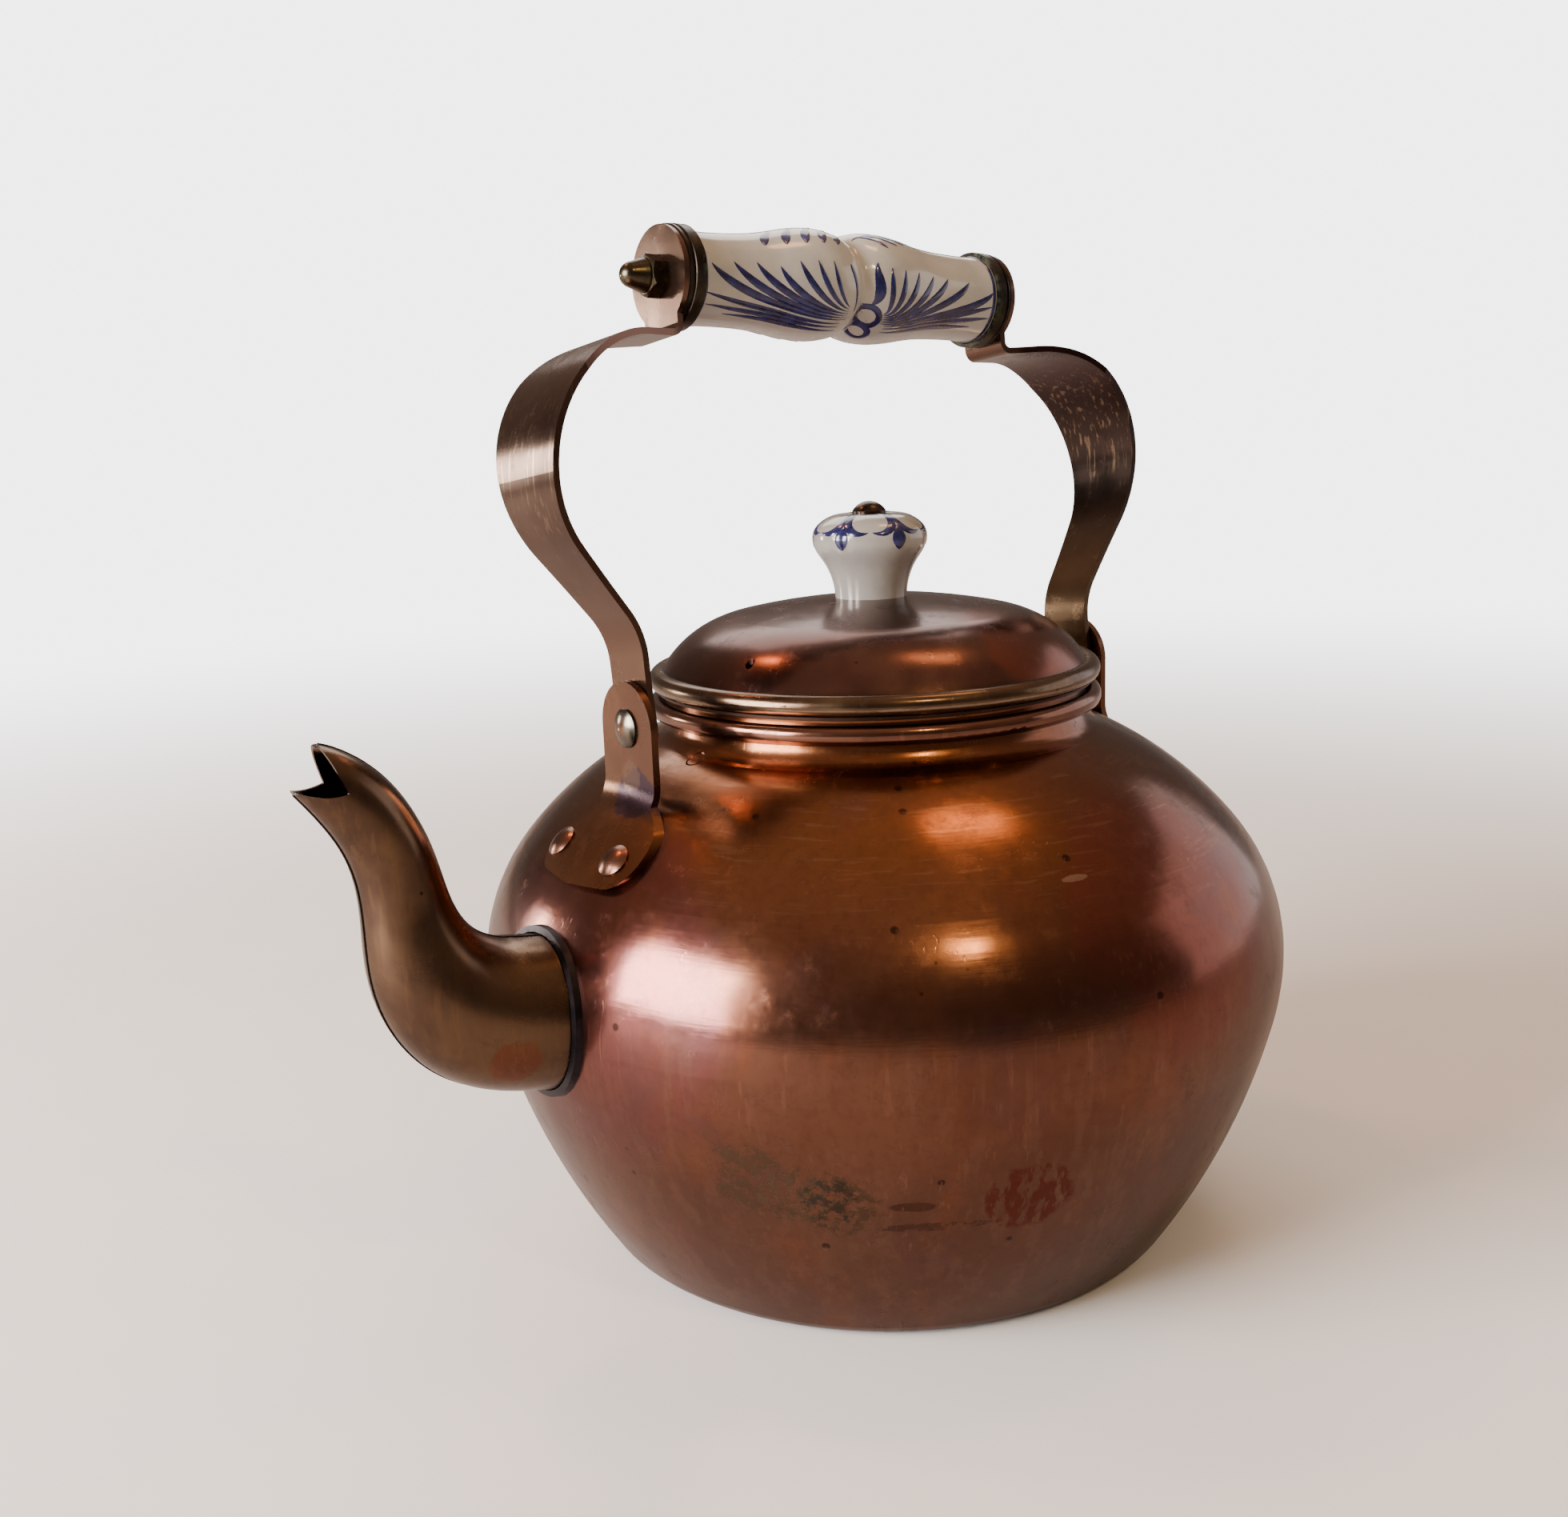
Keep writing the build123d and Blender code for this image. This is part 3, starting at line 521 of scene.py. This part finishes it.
class Grip:
    """The grip's surface as a function of distance from its middle (mm) and angle (degrees)."""

    def __init__(self):
        front = centre_of("front_ferrule")
        rear = centre_of("rear_ferrule")
        self.middle = (front + rear) / 2
        self.axis = (rear - front).normalized()
        pivot = (centre_of("front_pivot_rivet") + centre_of("rear_pivot_rivet")) / 2
        rise = self.middle - pivot
        self.up = (rise - self.axis * rise.dot(self.axis)).normalized()
        self.side = self.axis.cross(self.up)
        low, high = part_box("porcelain_grip")
        self.half = (high - low).x / 2 / self.axis.x / MM - TILT_EXTRA

    def radius(self, place):
        """The radii joined by cubics, as in a Catmull-Rom spline."""
        away = abs(place)
        table = GRIP_RADII
        index = 0
        while index < len(table) - 2 and away > table[index + 1][0]:
            index += 1
        before = table[index - 1] if index else (-table[1][0], table[1][1])
        first, last = table[index], table[index + 1]
        after = table[index + 2] if index + 2 < len(table) else (last[0] + 8, last[1])
        share = (away - first[0]) / (last[0] - first[0])
        slope_first = (last[1] - before[1]) / (last[0] - before[0]) * (last[0] - first[0])
        slope_last = (after[1] - first[1]) / (after[0] - first[0]) * (last[0] - first[0])
        cube, square = share ** 3, share ** 2
        value = (2 * cube - 3 * square + 1) * first[1] + (cube - 2 * square + share) * slope_first
        value += (3 * square - 2 * cube) * last[1] + (cube - square) * slope_last
        return value

    def point(self, place, angle, proud=0.0):
        """Angle 0 faces the camera side, 90 is the top; the pinch has a crease."""
        turn = math.radians(angle)
        bow = BOW_SIDE * math.cos(turn) - BOW_TOP * math.sin(turn)
        away = place - bow * math.exp(-((place / BOW_REACH) ** 2))
        radius = self.radius(away) - CREASE_DEPTH * math.exp(-abs(away) / CREASE_WIDTH)
        swell = max(0.0, math.cos(math.pi * place / 2 / self.half)) ** 1.5
        radius -= GRIP_FLAT * swell * (1 - math.sin(turn)) / 2
        outward = self.side * math.cos(turn) + self.up * math.sin(turn)
        return self.middle + (self.axis * place + outward * (radius + proud)) * MM

    def end_ring(self, end, radius):
        """Circle on an end face; end is -1 or 1 along the axis."""
        turns = [2 * math.pi * k / GRIP_ROUND for k in range(GRIP_ROUND)]
        return [self.middle + (self.axis * end * self.half
                + (self.side * math.cos(turn) + self.up * math.sin(turn)) * radius) * MM
                for turn in turns]


def add_grip(grip, material):
    """Porcelain grip, bored for the rod, with a pinched crease and rounded ends."""
    points = grip.end_ring(-1, GRIP_BORE) + grip.end_ring(-1, GRIP_LAND)
    for step in range(GRIP_STEPS + 1):
        place = grip.half * (2 * step / GRIP_STEPS - 1)
        inset = GRIP_EDGE if step in (0, GRIP_STEPS) else 0.0
        points += [grip.point(place, 360 * k / GRIP_ROUND, -inset) for k in range(GRIP_ROUND)]
    points += grip.end_ring(1, GRIP_LAND) + grip.end_ring(1, GRIP_BORE)
    faces = grid_faces(len(points) // GRIP_ROUND, GRIP_ROUND, True)
    last = len(points) - GRIP_ROUND
    for k in range(GRIP_ROUND):
        after = (k + 1) % GRIP_ROUND
        faces.append((last + k, last + after, after, k))
    return add_mesh("grip_porcelain", points, faces, material)


# ---- brushwork: thin raised strokes of glaze that follow a surface ----

STROKE_STEPS = 36
STROKE_ACROSS = 5
STROKE_PROUD = 0.10
STROKE_SUNK = -0.08         # the edges of a stroke lie under the glaze
STROKE_WIDTH = 1.40         # drawn width over the width that shows above the glaze
THINNEST = 0.05             # share of its width that a stroke's tip keeps
PEEK = 0.01                 # how far along a stroke its direction is taken
RING_STEPS = 30


def across(width):
    """(offset, proud) of each point across a stroke."""
    last = STROKE_ACROSS - 1
    return [((column / last - 0.5) * width, STROKE_SUNK if column in (0, last) else STROKE_PROUD)
            for column in range(STROKE_ACROSS)]


class Brush:
    """Collects strokes drawn on one surface into one mesh; turn is added to every angle."""

    def __init__(self, surface, radius):
        self.surface = surface
        self.per_degree = math.radians(radius)
        self.turn = 0.0
        self.points = []
        self.faces = []

    def add_strip(self, rows):
        """Joins rows of (place, angle, proud) into one strip."""
        base = len(self.points)
        for row in rows:
            self.points += [self.surface(place, angle + self.turn, proud)
                            for place, angle, proud in row]
        faces = grid_faces(len(rows), STROKE_ACROSS, False)
        self.faces += [tuple(corner + base for corner in face) for face in faces]

    def stroke(self, controls, width, fat=0.45, start=0.12):
        """One stroke along a Bezier of (place mm, angle deg); fat is where it is widest."""
        rows = []
        for step in range(STROKE_STEPS + 1):
            share = step / STROKE_STEPS
            here = bezier(controls, share)
            ahead = bezier(controls, min(1.0, share + PEEK)) - bezier(controls, max(0.0, share - PEEK))
            along = Vector((ahead.x, ahead.y * self.per_degree)).normalized()
            if share < fat:
                size = start + (1 - start) * math.sin(math.pi / 2 * share / fat)
            else:
                size = math.cos(math.pi / 2 * (share - fat) / (1 - fat)) ** 0.7
            rows.append([
                (here.x - along.y * offset, here.y + along.x * offset / self.per_degree, proud)
                for offset, proud in across(STROKE_WIDTH * width * max(size, THINNEST))
            ])
        self.add_strip(rows)

    def ring(self, place, angle, radius, width):
        """A loop of even width round a centre."""
        rows = []
        for step in range(RING_STEPS + 1):
            around = math.radians(360 * step / RING_STEPS)
            rows.append([
                (place + math.cos(around) * (radius + offset),
                 angle + math.sin(around) * (radius + offset) / self.per_degree, proud)
                for offset, proud in across(STROKE_WIDTH * width)
            ])
        self.add_strip(rows)

    def band(self, place, width):
        """A line of even width right round the grip."""
        self.add_strip([
            [(place + offset, 360 * k / GRIP_ROUND, proud) for offset, proud in across(width)]
            for k in range(GRIP_ROUND + 1)
        ])

    def add(self, name, material):
        return add_mesh(name, self.points, self.faces, material)


GRIP_BRUSH_RADIUS = 14.0    # strokes on the grip are drawn as on a bar of this radius
LEFT_TIPS = [               # (place, angle) of the leaf tips left and right of the flower
    (-44, 8), (-37.5, 12), (-31, 13), (-24.5, 9), (-19, 15), (-14, 16), (-9.5, 16),
]
RIGHT_TIPS = [
    (9.0, 14), (13.5, 13), (18.5, 13), (24, 12), (29.5, 12), (37, 10), (45, -2),
]
LEFT_LOW = [(-46, -26, -51), (-45, -42, -56), (-39, -56, -62)]   # place, angle, angle of the root
RIGHT_LOW = [(45.5, -20, -50), (45, -36, -54), (40, -52, -60)]
FLOWER_RINGS = [(3.6, -43, 3.1), (3.4, -69, 2.8)]                # place, angle, radius
LEFT_COMMAS = [-25, -19, -13.5, -8.5, -4]
RIGHT_COMMAS = [(20, 60), (17.5, 52), (14, 45), (10, 38)]
BAND_AT = 45.6
BAND_WIDTH = 1.2


def draw_leaves(brush):
    """Leaf strokes that fan from a two-ring flower beside the pinch, commas above them."""
    for index, (place, angle) in enumerate(LEFT_TIPS):
        brush.stroke([(-3.5, -46 + 2.5 * index), (place * 0.5 - 2, -46 + 4 * index),
                      (place * 0.9, angle - 26), (place, angle)], 2.2 - 0.16 * index, 0.66, 0.04)
    for place, angle, root in LEFT_LOW:
        brush.stroke([(-5, root), (place * 0.55, root - 1), (place, angle)], 1.7, 0.55, 0.04)
    brush.stroke([(-1.5, -36), (-1.2, -10), (-4.0, 15)], 1.1, 0.9, 0.2)
    for index, (place, angle) in enumerate(RIGHT_TIPS):
        brush.stroke([(7.5, -36 - 2 * index), (6 + place * 0.45, -33 - 2 * index),
                      (place * 0.95, angle - 18), (place, angle)], 1.5 + 0.13 * index, 0.6, 0.04)
    for place, angle, root in RIGHT_LOW:
        brush.stroke([(9.0, root), (place * 0.6, root + 3), (place, angle)], 2.1, 0.6, 0.04)
    brush.stroke([(3.8, -28), (7.5, -12), (4.0, 2), (5.2, 20)], 2.6, 0.35, 0.1)
    for place, angle, radius in FLOWER_RINGS:
        brush.ring(place, angle, radius, 1.6)
    for place in LEFT_COMMAS:
        brush.stroke([(place + 4, 74), (place - 1.0, 58), (place - 2, 37)], 2.2, 0.7, 0.1)
    for place, angle in RIGHT_COMMAS:
        brush.stroke([(2.0, 60), (place * 0.5, 70), (place, angle)], 1.6, 0.75, 0.1)


def add_grip_brushwork(grip, material):
    """The leaves on both faces of the grip, and a band near each end."""
    brush = Brush(grip.point, GRIP_BRUSH_RADIUS)
    for face in (0.0, 180.0):
        brush.turn = face
        draw_leaves(brush)
    brush.turn = 0.0
    for place in (-BAND_AT, BAND_AT):
        brush.band(place, BAND_WIDTH)
    return brush.add("grip_brushwork", material)


# ---- knob brushwork ----

KNOB_TURN = 11.5            # mm along the crown for one radian round its centre
KNOB_CENTRE = 0.66          # height of that centre as a share of the knob's height
KNOB_FAR = 0.05             # rays start this far out, in metres
KNOB_BRUSH_RADIUS = 11.0
PETALS = 6
FIRST_PETAL = -128.0        # direction of the first petal, degrees


class Knob:
    """The knob's crown as a function of distance from its top (mm) and direction (degrees)."""

    def __init__(self):
        mesh = NODES["porcelain_knob"].data
        corners = [vertex.co.copy() for vertex in mesh.vertices]
        self.tree = BVHTree.FromPolygons(corners, [tuple(face.vertices) for face in mesh.polygons])
        low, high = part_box("porcelain_knob")
        self.centre = Vector((0, 0, low.z + (high.z - low.z) * KNOB_CENTRE))

    def point(self, down, angle, proud):
        lean, turn = down / KNOB_TURN, math.radians(angle)
        level = math.sin(lean)
        out = Vector((level * math.cos(turn), level * math.sin(turn), math.cos(lean)))
        hit = self.tree.ray_cast(self.centre + out * KNOB_FAR, -out)[0]
        return hit + out * proud * MM


def add_knob_brushwork(material):
    """Outlined petals round the crown, with a short stroke between each two."""
    brush = Brush(Knob().point, KNOB_BRUSH_RADIUS)
    for petal in range(PETALS):
        middle = FIRST_PETAL + 360 * petal / PETALS
        for side in (-1, 1):
            brush.stroke([(6.5, middle + side * 4), (7.5, middle + side * 40),
                          (17.5, middle + side * 32), (15.5, middle + side * 2)], 1.9, 0.5, 0.6)
        brush.stroke([(14.5, middle + 30), (16.0, middle + 30), (19.0, middle + 30)], 2.8, 0.6)
    return brush.add("knob_brushwork", material)


# ---- room ----

BACKDROP = (4.5, 4.5, 4.5)              # what the camera sees behind the kettle
MIRRORED_FLOOR = (0.40, 0.37, 0.35)     # the floor's colour in the copper and for the lamps
ROOM_STOPS = [                          # height in the mirrored room, colour
    (0.0, (0.26, 0.24, 0.23)), (0.10, (0.15, 0.11, 0.09)), (0.45, (0.24, 0.165, 0.12)),
    (0.80, (0.50, 0.33, 0.23)), (1.0, (0.66, 0.47, 0.34)),
]
LAMPS = [                   # name, azimuth, elevation, distance, size in metres, power, colour
    ("window", 172, 16, 1.5, (0.96, 0.72), 82.0, (1.0, 0.93, 0.90)),
    ("lamp", -99, 43, 1.5, (0.08, 0.08), 4.2, (1.0, 0.68, 0.28)),
    ("glow", 115, 59, 1.5, (0.13, 0.13), 3.4, (1.0, 0.32, 0.11)),
    ("ceiling", -18, 72, 1.6, (0.28, 0.4), 3.2, (1.0, 0.50, 0.20)),
    ("side_wall", -14, 8, 2.0, (1.9, 1.6), 11.0, (1.0, 0.94, 0.97)),
    ("back_fill", 60, 42, 2.2, (1.6, 1.2), 18.0, (1.0, 0.96, 0.93)),
    ("strap_light", 119, 7, 1.4, (0.13, 0.24), 4.0, (1.0, 0.90, 0.78)),
]
LAMPS_AIM = (0, 0, 0.1)
FLOOR_REACH = 40.0                      # half the floor's width, metres
FLOOR_FADE = (350.0, 1400.0)            # mm from the kettle where the seen floor turns to backdrop


def add_area(name, azimuth, elevation, distance, size, power, colour):
    """Rectangular lamp that faces the kettle from a direction in degrees."""
    data = bpy.data.lights.new(name, "AREA")
    data.shape = "RECTANGLE"
    data.size, data.size_y = size
    data.energy = power
    data.color = colour
    lamp = bpy.data.objects.new(name, data)
    bpy.context.scene.collection.objects.link(lamp)
    turn, lift = math.radians(azimuth), math.radians(elevation)
    level = math.cos(lift)
    out = Vector((math.cos(turn) * level, math.sin(turn) * level, math.sin(lift)))
    lamp.location = Vector(LAMPS_AIM) + out * distance
    lamp.rotation_euler = (-out).to_track_quat("-Z", "Y").to_euler()


def add_room():
    """Dim warm room for the metal to mirror, pale backdrop for the camera, soft lamps."""
    world = bpy.data.worlds.new("room")
    bpy.context.scene.world = world
    world.use_nodes = True
    tree = world.node_tree
    shade = tree.nodes["Background"]
    place = tree.nodes.new("ShaderNodeTexCoord")
    split = tree.nodes.new("ShaderNodeSeparateXYZ")
    tree.links.new(place.outputs["Generated"], split.inputs[0])
    ramp = tree.nodes.new("ShaderNodeValToRGB")
    tree.links.new(split.outputs["Z"], ramp.inputs["Fac"])
    while len(ramp.color_ramp.elements) < len(ROOM_STOPS):
        ramp.color_ramp.elements.new(0.5)
    for element, (position, colour) in zip(ramp.color_ramp.elements, ROOM_STOPS):
        element.position = position
        element.color = (*colour, 1.0)
    path = tree.nodes.new("ShaderNodeLightPath")
    mix = tree.nodes.new("ShaderNodeMix")
    mix.data_type = "RGBA"
    tree.links.new(path.outputs["Is Camera Ray"], mix.inputs["Factor"])
    tree.links.new(ramp.outputs["Color"], mix.inputs[6])
    mix.inputs[7].default_value = (*BACKDROP, 1.0)
    tree.links.new(mix.outputs[2], shade.inputs["Color"])
    for lamp in LAMPS:
        add_area(*lamp)


def add_floor():
    """Pale floor that fades into the backdrop; mirrored and for the lamps it is darker."""
    look = Look("pale_floor", Roughness=0.7)
    grain = look.noise(40.0, 5.0, 0.6)
    seen = look.mix(grain, (0.80, 0.79, 0.78), (0.84, 0.83, 0.82))
    away = look.calc("ADD", look.times(look.x, look.x), look.times(look.y, look.y))
    far = look.step(look.calc("SQRT", away), *FLOOR_FADE)
    path = look.tree.nodes.new("ShaderNodeLightPath")
    camera_ray = path.outputs["Is Camera Ray"]
    material = look.finish(look.mix(camera_ray, MIRRORED_FLOOR, seen), 0.7)
    pale = look.tree.nodes.new("ShaderNodeEmission")
    pale.inputs["Color"].default_value = (*BACKDROP, 1.0)
    blend = look.tree.nodes.new("ShaderNodeMixShader")
    look.put(blend.inputs[0], look.times(far, camera_ray))
    look.put(blend.inputs[1], look.shader.outputs[0])
    look.put(blend.inputs[2], pale.outputs[0])
    look.put(look.tree.nodes["Material Output"].inputs["Surface"], blend.outputs[0])
    corners = [(x * FLOOR_REACH, y * FLOOR_REACH, 0) for x, y in ((-1, -1), (1, -1), (1, 1), (-1, 1))]
    floor = add_mesh("floor", corners, [(0, 1, 2, 3)], material, False)


# ---- put it together ----

def dress(nodes, material):
    """Gives CAD nodes a finished material."""
    for node in nodes:
        slots = NODES[node].data.materials
        slots.clear()
        slots.append(material)


add_camera()
add_room()
add_floor()

porcelain = glaze("grip_glaze", (0.52, 0.515, 0.475), (0.43, 0.425, 0.395), 0.30)
# painted shade: the knob has the grip's ivory glaze painted about a quarter darker
shaded_knob_glaze = glaze("shaded_knob_glaze", (0.40, 0.39, 0.365), (0.33, 0.32, 0.305), 0.12)
blue = cobalt()
brass = simple_metal(
    "fixing_brass", (0.46, 0.36, 0.20), (0.34, 0.26, 0.15), (0.2, 0.15, 0.1), seed=71.0,
)

dress(["body_shell"], body_copper())
dress(["neck_ring"], simple_metal(
    "ring_copper", (0.52, 0.25, 0.17), (0.34, 0.15, 0.10), (0.2, 0.1, 0.07), rough=0.17, seed=5.0,
))
dress(["spout_left_half", "spout_right_half"], spout_bronze())
dress(["spout_seam_solder"], simple_metal(
    "seam_solder", (0.10, 0.075, 0.06), (0.05, 0.04, 0.04), (0.03, 0.03, 0.03),
    rough=0.4, seed=8.0,
))
dress(["spout_root_solder"], simple_metal(
    "root_solder", (0.12, 0.10, 0.115), (0.055, 0.05, 0.065), (0.03, 0.03, 0.035),
    rough=0.36, seed=9.0, blotch=12.0,
))
dress(["front_ear"], ear_copper("front_ear_copper", -1))
dress(["rear_ear"], ear_copper("rear_ear_copper", 1))
dress(["front_ear_rivets", "rear_ear_rivets", "front_ear_burrs", "rear_ear_burrs"], simple_metal(
    "rivet_copper", (0.50, 0.26, 0.18), (0.34, 0.15, 0.10), (0.2, 0.1, 0.08),
    rough=0.25, seed=13.0, blotch=9.0,
))
dress(["front_pivot_rivet"], pivot_metal("front_pivot_metal"))
dress(["rear_pivot_rivet"], pivot_metal("rear_pivot_metal"))
dress(["front_pivot_washer", "rear_pivot_washer", "knob_washer", "knob_nut"], brass)
dress(["front_arm"], arm_copper(
    "front_arm_copper", (0.27, 0.15, 0.10), (0.19, 0.105, 0.072),
    top=(0.17, 0.09, 0.068), low=(0.21, 0.115, 0.074), seed=17.0,
))
# painted shade: the rear arm is the strap copper painted far darker than the front arm, darkest at its
# top, lighter at its low end
dress(["rear_arm"], arm_copper(
    "rear_arm_painted_shade_copper", (0.12, 0.08, 0.066), (0.07, 0.05, 0.045),
    top=(0.07, 0.03, 0.032), low=(0.25, 0.16, 0.09), seed=27.0,
))
dress(["front_ferrule"], ferrule_bronze("front_ferrule_bronze", -1))
dress(["rear_ferrule"], ferrule_bronze("rear_ferrule_bronze", 1))
dress(["front_cap_nut", "rear_cap_nut"], simple_metal(
    "nut_bronze", (0.30, 0.25, 0.15), (0.13, 0.105, 0.07), (0.05, 0.05, 0.04),
    rough=0.28, seed=33.0, blotch=5.0,
))
dress(["grip_rod"], simple_metal(
    "rod_steel", (0.4, 0.39, 0.38), (0.28, 0.27, 0.26), (0.18, 0.13, 0.1), rough=0.35, seed=35.0,
))
dress(["lid_dome"], lid_copper())
dress(["lid_rim_bead"], bead_brass())
# painted shade: the collar, seen in the dark gap under the lid's rim, gets near-black copper
dress(["lid_collar"], simple_metal(
    "collar_copper_painted_shade", (0.14, 0.075, 0.055), (0.08, 0.045, 0.035), (0.05, 0.035, 0.03),
    rough=0.4, seed=37.0,
))
dress(["porcelain_knob"], shaded_knob_glaze)
dress(["knob_screw"], simple_metal(
    "screw_bronze", (0.16, 0.11, 0.085), (0.07, 0.05, 0.045), (0.05, 0.05, 0.045),
    rough=0.26, seed=39.0, blotch=4.0,
))

grip_shape = Grip()
grip_piece = add_grip(grip_shape, porcelain)
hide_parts("porcelain_grip")
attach(grip_piece, "handle")
grip_paint = add_grip_brushwork(grip_shape, blue)
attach(grip_paint, "handle")
knob_paint = add_knob_brushwork(blue)
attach(knob_paint, "lid")
